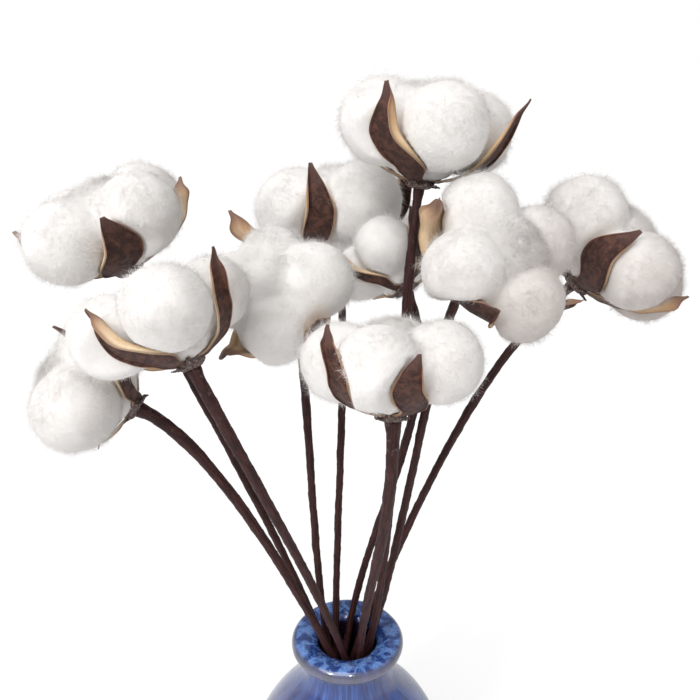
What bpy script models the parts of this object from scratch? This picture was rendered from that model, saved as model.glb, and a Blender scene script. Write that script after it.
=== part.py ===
# Cotton stem bunch: ten open cotton heads on taped stems, standing in a round
# glazed vase. Built in millimetres and scaled to metres, +Z up, the origin at the
# centre of the vase's flat foot.
import math
import random

import bmesh
import bpy
import numpy as np

MM = 0.001

# ---------------------------------------------------------------- vase (mm)
VASE_HEIGHT = 119.0
VASE_FOOT_RADIUS = 30.0
VASE_BELLY_RADIUS = 49.0
VASE_LIP_RADIUS = 27.0
VASE_MOUTH_RADIUS = 13.6
VASE_FLOOR = 6.0
VASE_SIDES = 36

# ---------------------------------------------------------------- stems (mm)
STEM_FOOT_RING = 24.0      # circle the stem feet stand on, inside the vase
STEM_NECK_RING = 11.2      # circle the stems pass through at the neck
STEM_NECK_Z = 114.0
STEM_SPIRAL = 135.0        # how far round, in degrees, each foot stands from its neck place
STEM_FIRST_SLOT = 265.0    # degrees, the first neck place
STEM_LIP_BEND = 0.35       # how far a stem turns towards its head where it leaves the lip
STEM_FOOT_R = 1.6
STEM_TOP_R = 2.15
# the wire and tape under each head, as a share of STEM_TOP_R
STEM_THICK = {1: 1.22, 2: 0.92, 3: 1.05, 4: 0.97, 5: 0.86, 6: 1.08, 7: 0.86, 8: 0.84, 9: 0.90, 10: 0.94}
STEM_BEVEL = 1             # six sides
STEM_STEPS = 16
TOUCH = 0.3                # gap left wherever two pieces meet

# ---------------------------------------------------------------- one head (mm, at size 1)
HEAD_CENTRE = 19.0         # from the foot of the head up to the middle of its locks
LOCK_RADIUS = 15.5
LOCK_OUT = 18.5            # from the head's axis to the middle of a lock
CORE_RADIUS = 19.5
CORE_BELOW = 18.2
CORE_ABOVE = 16.0
SOFT = 8.0                 # how sharply locks meet, higher is sharper
COTTON_GAP = 0.6           # cotton held off its burr
SHELL = 1.2                # burr thickness
# burr valve: polar angle from the stalk, radius of its inner face, half-width in degrees
VALVE_POLAR = (18, 30, 42, 55, 68, 80, 92, 104, 115)
VALVE_RADIUS = (19.4, 19.9, 20.6, 21.7, 23.2, 24.7, 26.2, 28.2, 31.2)
VALVE_HALF = (45, 31, 24, 21, 19, 16, 11.5, 6, 0)
MARGIN_LIFT = 1.1          # how far a valve's edges stand out past its middle
CALYX_LOBES = 5
CALYX_RADIUS = 8.5

# base x, y, z, lean bearing, lean, spin, size, lock spread, valve reach, valve width,
# place round the neck
HEADS = (
    (-87, -14, 246, -169, 60, -35, 1.05, 1.00, 1.08, 0.60, 9),
    (-90, 14, 296, -170, 20, -78, 1.07, 1.07, 0.90, 1.00, 8),
    (-54, -48, 279, 147, 30, -119, 0.96, 1.15, 1.00, 0.90, 0),
    (-26, 13, 283, -101, 58, -131, 0.97, 0.97, 1.06, 1.00, 7),
    (-4, 52, 292, 111, 14, -97, 1.16, 1.00, 1.04, 0.90, 6),
    (16, -50, 260, 98, 16, -150, 0.95, 1.06, 0.92, 0.95, 1),
    (24, 12, 288, 121, 47, -145, 0.77, 1.00, 0.92, 0.60, 5),
    (28, 3, 333, 48, 10, -119, 1.03, 0.97, 0.97, 1.05, 2),
    (48, -13, 299, -60, 53, 173, 0.95, 1.06, 1.02, 0.95, 3),
    (100, 28, 286, -4, 46, -123, 1.08, 1.13, 0.94, 1.00, 4),
)

# locks that grew smaller than their neighbours, and valves that stayed short, by head
# and quarter
LOCK_SHARE = {(1, 2): 0.78, (3, 1): 0.86, (4, 2): 0.76}
VALVE_SHARE = {(1, 3): 0.35, (1, 1): 0.75, (1, 2): 0.75, (4, 2): 0.50, (4, 3): 0.50, (5, 3): 0.74,
               (9, 3): 0.55, (10, 3): 0.70}

# how much of a stem is taken up by its bend under the head, where it isn't the usual share
HEAD_BEND = {1: 0.20, 2: 0.12, 3: 0.14, 9: 0.14}
USUAL_BEND = 0.27

COLOURS = {
    "vase": ((0.020, 0.075, 0.300, 1.0), 0.18),
    "stem": ((0.045, 0.020, 0.018, 1.0), 0.75),
    "burr": ((0.095, 0.048, 0.030, 1.0), 0.7),
    "cotton": ((0.880, 0.860, 0.840, 1.0), 0.95),
}


def clearScene():
    for ob in list(bpy.data.objects):
        bpy.data.objects.remove(ob, do_unlink=True)


def material(kind):
    mat = bpy.data.materials.get(kind)
    if mat:
        return mat
    mat = bpy.data.materials.new(kind)
    mat.use_nodes = True
    bsdf = mat.node_tree.nodes["Principled BSDF"]
    colour, rough = COLOURS[kind]
    bsdf.inputs["Base Color"].default_value = colour
    bsdf.inputs["Roughness"].default_value = rough
    bsdf.inputs["Metallic"].default_value = 0.0
    mat.diffuse_color = colour
    return mat


def finish(name, bm, kind, sharp):
    # turn a bmesh into a named, smooth-shaded object with its material
    me = bpy.data.meshes.new(name)
    bm.to_mesh(me)
    bm.free()
    me.shade_smooth()
    me.set_sharp_from_angle(angle=math.radians(sharp))
    me.materials.append(material(kind))
    ob = bpy.data.objects.new(name, me)
    bpy.context.scene.collection.objects.link(ob)
    return ob


def surface(name, verts, faces, kind, sharp):
    # an object from vertices in mm
    bm = bmesh.new()
    points = [bm.verts.new(tuple(v)) for v in np.asarray(verts) * MM]
    for f in faces:
        bm.faces.new([points[i] for i in f])
    bmesh.ops.recalc_face_normals(bm, faces=bm.faces)
    return finish(name, bm, kind, sharp)


def leanMatrix(bearing, lean):
    # turn +Z over by lean degrees towards the bearing, with no twist
    a = math.radians(bearing)
    t = math.radians(lean)
    x, y = -math.sin(a), math.cos(a)
    k = np.array([[0, 0, y], [0, 0, -x], [-y, x, 0]])
    return np.eye(3) + math.sin(t) * k + (1 - math.cos(t)) * (k @ k)


def along(values, polar, at):
    return float(np.interp(at, polar, values))


# ---------------------------------------------------------------- vase
def buildVase():
    # one profile from the middle of the foot, up the outside, over the lip and down
    # the inside to the middle of the floor, spun round the axis
    belly, lip, mouth = VASE_BELLY_RADIUS, VASE_LIP_RADIUS, VASE_MOUTH_RADIUS
    top = VASE_HEIGHT
    profile = (
        (0.0, 0.0), (VASE_FOOT_RADIUS, 0.0), (VASE_FOOT_RADIUS + 2.6, 1.4),
        (belly - 9.5, 12.0), (belly - 3.5, 25.0), (belly - 0.4, 38.0), (belly, 48.0),
        (belly - 2.4, 59.0), (belly - 7.2, 69.0), (belly - 14.2, 79.0),
        (belly - 22.2, 87.5), (belly - 27.6, 94.0), (19.4, 99.5), (18.6, 103.5),
        (18.8, 106.5), (20.6, 109.2),
        (lip - 3.0, 110.4), (lip - 0.8, 112.3), (lip, 114.9), (lip - 0.8, 117.4),
        (lip - 3.0, top), (lip - 6.2, top - 0.2), (lip - 9.2, top - 1.0),
        (mouth + 1.8, top - 2.2), (mouth + 0.4, top - 3.9), (mouth, top - 6.6),
        (mouth, 104.0), (14.4, 99.0), (17.6, 93.0), (23.2, 86.5),
        (31.4, 77.0), (38.2, 67.0), (43.0, 57.5), (44.9, 47.5), (44.2, 36.0),
        (40.8, 24.5), (35.5, 14.0), (30.0, VASE_FLOOR + 1.6), (26.5, VASE_FLOOR),
        (0.0, VASE_FLOOR),
    )
    bm = bmesh.new()
    points = [bm.verts.new((r * MM, 0.0, z * MM)) for r, z in profile]
    edges = [bm.edges.new(pair) for pair in zip(points, points[1:])]
    bmesh.ops.spin(bm, geom=points + edges, cent=(0, 0, 0), axis=(0, 0, 1),
                   angle=2 * math.pi, steps=VASE_SIDES, use_merge=True)
    bmesh.ops.remove_doubles(bm, verts=bm.verts, dist=1e-6)
    bmesh.ops.recalc_face_normals(bm, faces=bm.faces)
    return finish("vase", bm, "vase", 50.0)


# ---------------------------------------------------------------- one head
def skew(polar, twist):
    # a valve's middle line swings to one side and back on its way up
    return twist * math.sin(math.radians(polar * 1.6 - 20))


def valvePolar(reach):
    first = VALVE_POLAR[0]
    return [first + (p - first) * reach for p in VALVE_POLAR]


def onHead(polar, bearing, radius):
    # a point at this radius from the middle of the locks, polar angle from the stalk
    p, b = math.radians(polar), math.radians(bearing)
    return (radius * math.sin(p) * math.cos(b), radius * math.sin(p) * math.sin(b),
            HEAD_CENTRE - radius * math.cos(p))


def lockRadius(number, polar, bearing, spread):
    # the far side of the four locks and the core along one ray, blended softly
    p, b = math.radians(polar), math.radians(bearing)
    d = np.array([math.sin(p) * math.cos(b), math.sin(p) * math.sin(b), -math.cos(p)])
    below = CORE_BELOW if polar < 90 else CORE_ABOVE
    core = 1 / math.sqrt((math.sin(p) / CORE_RADIUS) ** 2 + (math.cos(p) / below) ** 2)
    total = core ** SOFT
    for k in range(4):
        share = LOCK_SHARE.get((number, k), 1.0)
        out = LOCK_OUT * spread * share
        a = math.radians(45 + 90 * k)
        along = out * (d[0] * math.cos(a) + d[1] * math.sin(a))
        inside = along * along - out * out + (LOCK_RADIUS * share) ** 2
        if inside > 0 and along > 0:
            total += (along + math.sqrt(inside)) ** SOFT
    return total ** (1 / SOFT)


def buildCotton(name, number, place, spread, reach, width, twist):
    # a ring grid whose columns follow the valves, so the locks part round them
    polar = valvePolar(reach)
    tip = polar[-1]
    rows = polar[:-1] + [tip + (180 - tip) * f for f in (0.06, 0.28, 0.52, 0.76)]
    verts = [onHead(0, 0, min(CORE_BELOW, HEAD_CENTRE - COTTON_GAP))]
    for row in rows:
        half = along(VALVE_HALF, polar, row) * width if row < tip else 0.0
        edge = half + 2.5 if row < tip + 8 else 0.0
        first = min(max(edge, 9.0), 30.0)
        second = min(first + 9.0, 36.0)
        offsets = (0, first, second, 40.0, 50.0, 90 - second, 90 - first)
        swing = skew(row, twist) if row < tip else skew(tip, twist) * (180 - row) / (180 - tip)
        for q in range(4):
            for off in offsets:
                bearing = 90 * q + off + swing
                r = lockRadius(number, row, 90 * q + off, spread)
                across = min(off, 90 - off)
                if across <= edge + 0.01 and row < tip + 8:
                    inner = along(VALVE_RADIUS, polar, row)
                    share = min(across / max(half, 4.0), 1.0)
                    r = min(r, inner + MARGIN_LIFT * share ** 2 - COTTON_GAP - 0.25)
                verts.append(onHead(row, bearing, r))
    verts.append(onHead(180, 0, lockRadius(number, 180, 0, spread)))
    n = 28
    faces = []
    last = len(verts) - 1
    for j in range(n):
        k = (j + 1) % n
        faces.append((0, 1 + k, 1 + j))
        base = 1 + (len(rows) - 1) * n
        faces.append((last, base + j, base + k))
        for i in range(len(rows) - 1):
            a, b = 1 + i * n, 1 + (i + 1) * n
            faces.append((a + j, a + k, b + k, b + j))
    return surface(name, place(verts), faces, "cotton", 180.0)


def buildBurr(name, number, place, size, reach, width, twist, seed):
    # four pointed valves grown from one hub as a sheet, thickened outward, and a
    # ragged calyx under them
    last = len(VALVE_POLAR) - 1
    verts = [onHead(0, 0, HEAD_CENTRE)]
    ids = {}
    for q in range(4):
        share = VALVE_SHARE.get((number, q), 1.0)
        usual = valvePolar(reach)
        for i, row in enumerate(valvePolar(reach * share)):
            for s in ((0,) if i == last else (-1, 0) if i == 0 else (-1, 0, 1)):
                lift = MARGIN_LIFT * abs(s) * (1.0 if i else 0.4) * share
                bearing = 90 * q + s * VALVE_HALF[i] * (width if i else 1) + skew(row, twist)
                ids[q, i, s] = len(verts)
                verts.append(onHead(row, bearing, along(VALVE_RADIUS, usual, row) + lift))
    faces = []
    for q in range(4):
        ids[q, 0, 1] = ids[(q + 1) % 4, 0, -1]
        for s in (-1, 0):
            faces.append((0, ids[q, 0, s], ids[q, 0, s + 1]))
            for i in range(last - 1):
                faces.append((ids[q, i, s], ids[q, i + 1, s],
                              ids[q, i + 1, s + 1], ids[q, i, s + 1]))
            faces.append((ids[q, last - 1, s], ids[q, last, 0], ids[q, last - 1, s + 1]))
    body = surface(name, place(verts), faces, "burr", 40.0)
    outward = sum(p.area * p.normal.dot(p.center - body.data.vertices[0].co)
                  for p in body.data.polygons)
    thick = body.modifiers.new("skin", "SOLIDIFY")
    thick.thickness = SHELL * size * MM
    thick.offset = 1.0 if outward > 0 else -1.0

    rng = random.Random(seed)
    verts = [(0, 0, -2.4), (0, 0, -0.45)]
    count = 2 * CALYX_LOBES
    for j in range(count):
        a = 2 * math.pi * j / count
        r = CALYX_RADIUS * rng.uniform(0.8, 1.1) if j % 2 == 0 else 4.6
        drop = rng.uniform(0.0, 0.5) if j % 2 == 0 else 0.0
        x, y = r * math.cos(a), r * math.sin(a)
        verts.append((x, y, -2.1 - drop))
        verts.append((x, y, -0.5 - drop - (0.35 if j % 2 == 0 else 0.0)))
    faces = []
    for j in range(count):
        a, b = 2 + 2 * j, 2 + 2 * ((j + 1) % count)
        faces += [(0, b, a), (1, a + 1, b + 1), (a, b, b + 1, a + 1)]
    calyx = surface(name + "_calyx", place(verts), faces, "burr", 40.0)
    joinWith(body, [calyx])
    return body


def joinWith(body, extras):
    # one exact union of a body with everything that grows from it
    group = bpy.data.collections.new(body.name + "_join")
    bpy.context.scene.collection.children.link(group)
    for ob in extras:
        bpy.context.scene.collection.objects.unlink(ob)
        group.objects.link(ob)
    mod = body.modifiers.new("join", "BOOLEAN")
    mod.operation = "UNION"
    mod.operand_type = "COLLECTION"
    mod.collection = group
    mod.solver = "EXACT"
    graph = bpy.context.evaluated_depsgraph_get()
    graph.update()
    done = bpy.data.meshes.new_from_object(body.evaluated_get(graph))
    body.modifiers.clear()
    body.data = done
    for ob in extras:
        bpy.data.objects.remove(ob, do_unlink=True)
    bpy.data.collections.remove(group)


# ---------------------------------------------------------------- stems
def bezier(p0, p1, p2, p3, steps):
    t = np.linspace(0, 1, steps + 1)[:, None]
    return (1 - t) ** 3 * p0 + 3 * (1 - t) ** 2 * t * p1 + 3 * (1 - t) * t * t * p2 + t ** 3 * p3


def stemPath(number, head):
    # from the vase floor straight through the neck, then in one bend up to the head
    bearing, lean, size, slot = head[3], head[4], head[6], head[10]
    at = math.radians(STEM_FIRST_SLOT + slot * 360 / len(HEADS))
    foot = at + math.radians(STEM_SPIRAL)
    low = VASE_FLOOR + TOUCH + 0.4
    start = np.array([STEM_FOOT_RING * math.cos(foot), STEM_FOOT_RING * math.sin(foot), low])
    neck = np.array([STEM_NECK_RING * math.cos(at), STEM_NECK_RING * math.sin(at), STEM_NECK_Z])
    up = (neck - start) / np.linalg.norm(neck - start)
    axis = leanMatrix(bearing, lean) @ np.array([0.0, 0.0, 1.0])
    end = np.array(head[:3], float) - axis * (2.4 * size + TOUCH + 0.15)
    parts = [start[None, :] + (neck - start) * np.linspace(0, 1, 3)[:-1, None]]
    reach = np.linalg.norm(end - neck)
    leave = up * (1 - STEM_LIP_BEND) + (end - neck) / reach * STEM_LIP_BEND
    leave = leave / np.linalg.norm(leave)
    bend = reach * HEAD_BEND.get(number, USUAL_BEND)
    parts.append(bezier(neck, neck + leave * reach * 0.36, end - axis * bend, end,
                        STEM_STEPS - 2))
    return np.vstack(parts)


def buildStem(name, path, thick):
    # a curve with a round bevel, thinner at its foot than under the head
    curve = bpy.data.curves.new(name, "CURVE")
    curve.dimensions = "3D"
    top = STEM_TOP_R * thick
    curve.bevel_depth = top * MM
    curve.bevel_resolution = STEM_BEVEL
    curve.use_fill_caps = True
    spline = curve.splines.new("POLY")
    spline.points.add(len(path) - 1)
    run = np.concatenate([[0], np.cumsum(np.linalg.norm(np.diff(path, axis=0), axis=1))])
    for point, at, part in zip(spline.points, path, run / run[-1]):
        point.co = (*(at * MM), 1.0)
        point.radius = (STEM_FOOT_R + (top - STEM_FOOT_R) * part ** 2.2) / top
    spline.use_smooth = True
    curve.materials.append(material("stem"))
    ob = bpy.data.objects.new(name, curve)
    bpy.context.scene.collection.objects.link(ob)
    return ob


def placer(head):
    # head-local mm to the bunch: scale, spin about the axis, lean over, move
    x, y, z, bearing, lean, spin, size = head[:7]
    s = math.radians(spin)
    turn = np.array([[math.cos(s), -math.sin(s), 0], [math.sin(s), math.cos(s), 0], [0, 0, 1]])
    m = leanMatrix(bearing, lean) @ turn * size
    at = np.array([x, y, z], float)
    return lambda verts: np.asarray(verts, float) @ m.T + at


clearScene()
buildVase()
for i, head in enumerate(HEADS):
    tag = "%02d" % (i + 1)
    place = placer(head)
    twist = random.Random(40 + i).uniform(-7, 7)
    buildStem("stem_" + tag, stemPath(i + 1, head), STEM_THICK[i + 1])
    buildBurr("burr_" + tag, i + 1, place, head[6], head[8], head[9], twist, 70 + i)
    buildCotton("cotton_" + tag, i + 1, place, head[7], head[8], head[9], twist)
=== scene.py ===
# Cotton stems in a glazed bottle vase: the finish of every piece, worked out in mm
# and written into meshes in metres.
import math
import random

import bpy
import numpy as np
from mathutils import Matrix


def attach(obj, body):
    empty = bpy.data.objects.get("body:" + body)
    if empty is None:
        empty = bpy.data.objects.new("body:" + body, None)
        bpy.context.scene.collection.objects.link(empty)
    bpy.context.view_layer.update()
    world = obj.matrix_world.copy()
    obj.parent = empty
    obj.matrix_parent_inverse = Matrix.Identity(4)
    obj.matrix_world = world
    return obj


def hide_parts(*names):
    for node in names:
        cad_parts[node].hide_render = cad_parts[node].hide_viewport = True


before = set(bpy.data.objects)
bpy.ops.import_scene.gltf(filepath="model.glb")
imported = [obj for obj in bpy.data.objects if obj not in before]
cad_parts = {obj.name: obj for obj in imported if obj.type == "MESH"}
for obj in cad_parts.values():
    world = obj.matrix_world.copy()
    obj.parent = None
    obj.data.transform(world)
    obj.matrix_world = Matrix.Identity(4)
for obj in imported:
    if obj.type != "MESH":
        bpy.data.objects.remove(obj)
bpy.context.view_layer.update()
mm = 0.001

# the ten heads: foot of the head x, y, z, lean bearing, lean, spin, size, lock spread,
# valve reach, valve width, place round the neck
heads = (
    (-87, -14, 246, -169, 60, -35, 1.05, 1.00, 1.08, 0.60, 9),
    (-90, 14, 296, -170, 20, -78, 1.07, 1.07, 0.90, 1.00, 8),
    (-54, -48, 279, 147, 30, -119, 0.96, 1.15, 1.00, 0.90, 0),
    (-26, 13, 283, -101, 58, -131, 0.97, 0.97, 1.06, 1.00, 7),
    (-4, 52, 292, 111, 14, -97, 1.16, 1.00, 1.04, 0.90, 6),
    (16, -50, 260, 98, 16, -150, 0.95, 1.06, 0.92, 0.95, 1),
    (24, 12, 288, 121, 47, -145, 0.77, 1.00, 0.92, 0.60, 5),
    (28, 3, 333, 48, 10, -119, 1.03, 0.97, 0.97, 1.05, 2),
    (48, -13, 299, -60, 53, 173, 0.95, 1.06, 1.02, 0.95, 3),
    (100, 28, 286, -4, 46, -123, 1.08, 1.13, 0.94, 1.00, 4),
)

# one valve's own ways, by head and quarter: side of its broad margin, share of the usual
# length and width, degrees it stands off its quarter, share of the broad margin, mm it splays
valveTraits = {
    (1, 0): (-1, 1.00, 1.0, 6, 0.6, 0), (1, 1): (1, 0.75, 0.9, 0, 1, 0),
    (1, 2): (1, 0.75, 1, 0, 1, 0), (1, 3): (1, 0.35, 0.6, 0, 0.3, 0),
    (2, 0): (-1, 0.95, 1.25, 4, 0.35, 0), (2, 1): (-1, 0.93, 1, 0, 1, 0),
    (3, 0): (1, 0.93, 1.25, 0, 1, 0), (3, 1): (1, 0.97, 0.70, 8, 0.6, 0),
    (4, 0): (-1, 0.92, 1.25, 8, 1, 5), (4, 2): (1, 0.5, 0.8, 0, 0.5, 0),
    (4, 3): (1, 0.5, 0.8, 0, 0.5, 0),
    (5, 0): (-1, 0.97, 1.05, -10, 0.5, 0), (5, 3): (1, 0.74, 1.1, 16, 1.3, 12),
    (6, 0): (-1, 1.12, 0.82, 10, 0.5, 0), (6, 1): (1, 0.92, 1.05, -8, 0.4, 0),
    (8, 0): (1, 0.98, 1.05, 0, 1, 0), (8, 1): (1, 0.97, 0.85, 9, 0.35, 5),
    (9, 0): (1, 0.88, 1.35, 0, 1.3, 4), (9, 1): (1, 0.95, 1.65, 0, 0.5, 0),
    (9, 2): (1, 1.00, 1.0, -18, 0.8, 0), (9, 3): (1, 0.55, 0.7, 0, 0.6, 0),
    (10, 0): (1, 0.97, 1.05, 18, 0.3, 0), (10, 1): (-1, 0.95, 1, -4, 1, 0),
    (10, 3): (1, 0.7, 1, 0, 1, 0),
}
usualValve = (1, 1, 1, 0, 1, 0)
# the share of the usual size of each head's four locks, where one stayed small
lockShares = {1: (1.0, 1.0, 0.78, 1.0), 3: (1.0, 0.86, 1.0, 1.0), 4: (1.0, 1.0, 0.76, 1.0)}


# small numpy helpers for the shapes

def smooth(x):
    # 3x^2 - 2x^3 held between 0 and 1
    x = np.clip(x, 0.0, 1.0)
    return x * x * (3 - 2 * x)


def softNoise(points, size, seed):
    # random values on a lattice of this spacing, blended with a smooth step, -1 to 1
    lattice = np.random.default_rng(seed).random((32, 32, 32)) * 2 - 1
    q = np.asarray(points, float) / size
    cell = np.floor(q).astype(int)
    f = q - cell
    f = f * f * (3 - 2 * f)
    total = 0.0
    for dx in (0, 1):
        for dy in (0, 1):
            for dz in (0, 1):
                weight = ((f[..., 0] if dx else 1 - f[..., 0])
                          * (f[..., 1] if dy else 1 - f[..., 1])
                          * (f[..., 2] if dz else 1 - f[..., 2]))
                total = total + weight * lattice[(cell[..., 0] + dx) % 32,
                                                 (cell[..., 1] + dy) % 32,
                                                 (cell[..., 2] + dz) % 32]
    return total


def unit(v):
    # each vector over its length
    return v / np.maximum(np.linalg.norm(v, axis=-1, keepdims=True), 1e-9)


def leanMatrix(bearing, lean):
    # turn +Z over by lean degrees towards the bearing, with no twist
    a, t = math.radians(bearing), math.radians(lean)
    x, y = -math.sin(a), math.cos(a)
    k = np.array([[0, 0, y], [0, 0, -x], [-y, x, 0]])
    return np.eye(3) + math.sin(t) * k + (1 - math.cos(t)) * (k @ k)


def placer(head):
    # head-local mm to the bunch: scale, spin about the axis, lean over, move
    s = math.radians(head[5])
    turn = np.array([[math.cos(s), -math.sin(s), 0], [math.sin(s), math.cos(s), 0], [0, 0, 1]])
    m = leanMatrix(head[3], head[4]) @ turn * head[6]
    at = np.array(head[:3], float)
    return lambda points: np.asarray(points, float) @ m.T + at


def makePiece(name, points, faceSets, mat, replaced=None, attributes=None):
    # a mesh from whole arrays: points in mm, sets of equal-sided faces, values per point
    me = bpy.data.meshes.new(name)
    me.vertices.add(len(points))
    me.vertices.foreach_set("co", (np.asarray(points) * mm).astype(np.float32).ravel())
    loops = np.concatenate([f.ravel() for f in faceSets])
    sizes = np.concatenate([np.full(len(f), f.shape[1]) for f in faceSets])
    starts = np.concatenate([[0], np.cumsum(sizes)[:-1]])
    me.loops.add(len(loops))
    me.loops.foreach_set("vertex_index", loops.astype(np.int32))
    me.polygons.add(len(sizes))
    me.polygons.foreach_set("loop_start", starts.astype(np.int32))
    me.update(calc_edges=True)
    me.shade_smooth()
    for key, values in (attributes or {}).items():
        kind = "FLOAT_VECTOR" if values.ndim == 2 else "FLOAT"
        layer = me.attributes.new(key, kind, "POINT")
        layer.data.foreach_set("vector" if values.ndim == 2 else "value",
                               values.astype(np.float32).ravel())
    me.materials.append(mat)
    ob = bpy.data.objects.new(name, me)
    bpy.context.scene.collection.objects.link(ob)
    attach(ob, "root")
    if replaced:
        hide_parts(replaced)
    return ob


def closedGrid(rings):
    # rows of closed rings become quads, with a fan to a middle point at either end;
    # turned to face outwards by the sign of the enclosed volume
    rows, cols = rings.shape[:2]
    points = np.vstack([rings.reshape(-1, 3), rings[0].mean(0), rings[-1].mean(0)])
    r, c = np.meshgrid(np.arange(rows - 1), np.arange(cols), indexing="ij")
    n = (c + 1) % cols
    quads = np.stack([r * cols + c, r * cols + n, (r + 1) * cols + n, (r + 1) * cols + c], -1)
    quads = quads.reshape(-1, 4)
    j = np.arange(cols)
    k = (j + 1) % cols
    last = (rows - 1) * cols
    tris = np.vstack([np.stack([np.full(cols, rows * cols), k, j], -1),
                      np.stack([np.full(cols, rows * cols + 1), last + j, last + k], -1)])
    a, b, d = points[quads[:, 0]], points[quads[:, 1]], points[quads[:, 2]]
    e = points[quads[:, 3]]
    volume = (np.einsum("ij,ij->i", a, np.cross(b, d)) + np.einsum("ij,ij->i", a, np.cross(d, e))).sum()
    p, q, s = points[tris[:, 0]], points[tris[:, 1]], points[tris[:, 2]]
    volume += np.einsum("ij,ij->i", p, np.cross(q, s)).sum()
    if volume < 0:
        quads, tris = quads[:, ::-1], tris[:, ::-1]
    return points, quads, tris


def joined(parts):
    # several (points, quads, tris, values) lists as one
    points, quads, tris, values, at = [], [], [], {}, 0
    for part, q, t, extra in parts:
        points.append(part)
        quads.append(q + at)
        tris.append(t + at)
        for key, v in extra.items():
            values.setdefault(key, []).append(v)
        at += len(part)
    return (np.vstack(points), np.vstack(quads), np.vstack(tris),
            {key: np.concatenate(v) for key, v in values.items()})


# node helpers and the groups that the materials share

def newMaterial(name, roughness):
    # a plain Principled material to build on
    mat = bpy.data.materials.new(name)
    mat.use_nodes = True
    tree = mat.node_tree
    bsdf = tree.nodes["Principled BSDF"]
    bsdf.inputs["Roughness"].default_value = roughness
    return mat, tree, bsdf


def addNode(tree, kind, inputs=None, **settings):
    # a node with its settings; a socket as input is linked, anything else is set on it
    node = tree.nodes.new(kind)
    for key, value in settings.items():
        setattr(node, key, value)
    for key, value in (inputs or {}).items():
        socket = node.inputs[key]
        if isinstance(value, bpy.types.NodeSocket):
            tree.links.new(value, socket)
        else:
            socket.default_value = value
    return node


def mixColours(tree, mask, low, high):
    # low where the mask is 0, high where it is 1
    node = addNode(tree, "ShaderNodeMix", data_type="RGBA")
    for index, value in ((0, mask), (6, low), (7, high)):
        if isinstance(value, bpy.types.NodeSocket):
            tree.links.new(value, node.inputs[index])
        else:
            node.inputs[index].default_value = value
    return node.outputs[2]


def curveOf(tree, value, low, high, toLow=0.0, toHigh=1.0, mode="SMOOTHSTEP"):
    # the value between low and high, carried over smoothly to toLow and toHigh
    node = addNode(tree, "ShaderNodeMapRange",
                   {"Value": value, "From Min": low, "From Max": high, "To Min": toLow, "To Max": toHigh},
                   interpolation_type=mode)
    return node.outputs["Result"]


def combine(tree, operation, a, b):
    return addNode(tree, "ShaderNodeMath", {0: a, 1: b}, operation=operation).outputs[0]


def attributeOf(tree, name, output="Fac"):
    return addNode(tree, "ShaderNodeAttribute", attribute_name=name).outputs[output]


def groupOf(name, inputs, outputs):
    # an empty node group with these sockets, and its two end nodes
    group = bpy.data.node_groups.new(name, "ShaderNodeTree")
    for label, kind, value in inputs:
        socket = group.interface.new_socket(name=label, in_out="INPUT", socket_type=kind)
        if value is not None:
            socket.default_value = value
    for label, kind in outputs:
        group.interface.new_socket(name=label, in_out="OUTPUT", socket_type=kind)
    return group, group.nodes.new("NodeGroupInput"), group.nodes.new("NodeGroupOutput")


def makeMottle():
    # soft blotches with finer specks inside them: two noises, one carrying the other
    group, source, sink = groupOf(
        "mottle",
        [("Vector", "NodeSocketVector", None), ("Scale", "NodeSocketFloat", 200.0),
         ("Low", "NodeSocketFloat", 0.4), ("High", "NodeSocketFloat", 0.6)],
        [("Mask", "NodeSocketFloat"), ("Fine", "NodeSocketFloat")])
    broad = addNode(group, "ShaderNodeTexNoise",
                    {"Vector": source.outputs["Vector"], "Scale": source.outputs["Scale"],
                     "Detail": 4.0, "Roughness": 0.62, "Distortion": 0.6})
    fineScale = combine(group, "MULTIPLY", source.outputs["Scale"], 5.3)
    fine = addNode(group, "ShaderNodeTexNoise",
                   {"Vector": source.outputs["Vector"], "Scale": fineScale, "Detail": 3.0,
                    "Roughness": 0.6})
    mask = curveOf(group, broad.outputs["Fac"], source.outputs["Low"], source.outputs["High"])
    group.links.new(mask, sink.inputs["Mask"])
    group.links.new(fine.outputs["Fac"], sink.inputs["Fine"])
    return group


def makeStreaks():
    # noise stretched along the third axis: runs, veins and winding marks
    group, source, sink = groupOf(
        "streaks",
        [("Vector", "NodeSocketVector", None), ("Across", "NodeSocketFloat", 10.0),
         ("Along", "NodeSocketFloat", 1.0)],
        [("Mask", "NodeSocketFloat")])
    scale = addNode(group, "ShaderNodeCombineXYZ",
                    {"X": source.outputs["Across"], "Y": source.outputs["Across"],
                     "Z": source.outputs["Along"]})
    stretched = addNode(group, "ShaderNodeVectorMath",
                        {0: source.outputs["Vector"], 1: scale.outputs[0]}, operation="MULTIPLY")
    noise = addNode(group, "ShaderNodeTexNoise",
                    {"Vector": stretched.outputs[0], "Scale": 1.0, "Detail": 5.0, "Roughness": 0.6})
    group.links.new(noise.outputs["Fac"], sink.inputs["Mask"])
    return group


mottle = makeMottle()
streaks = makeStreaks()


def mottled(tree, vector, scale, low, high):
    node = addNode(tree, "ShaderNodeGroup", node_tree=mottle)
    tree.links.new(vector, node.inputs["Vector"])
    for key, value in (("Scale", scale), ("Low", low), ("High", high)):
        node.inputs[key].default_value = value
    return node


def streaked(tree, vector, across, along):
    node = addNode(tree, "ShaderNodeGroup", node_tree=streaks)
    tree.links.new(vector, node.inputs["Vector"])
    node.inputs["Across"].default_value = across
    node.inputs["Along"].default_value = along
    return node.outputs["Mask"]


def bumped(tree, height, strength, distance, bsdf):
    node = addNode(tree, "ShaderNodeBump", {"Height": height, "Strength": strength, "Distance": distance})
    tree.links.new(node.outputs[0], bsdf.inputs["Normal"])


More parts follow.
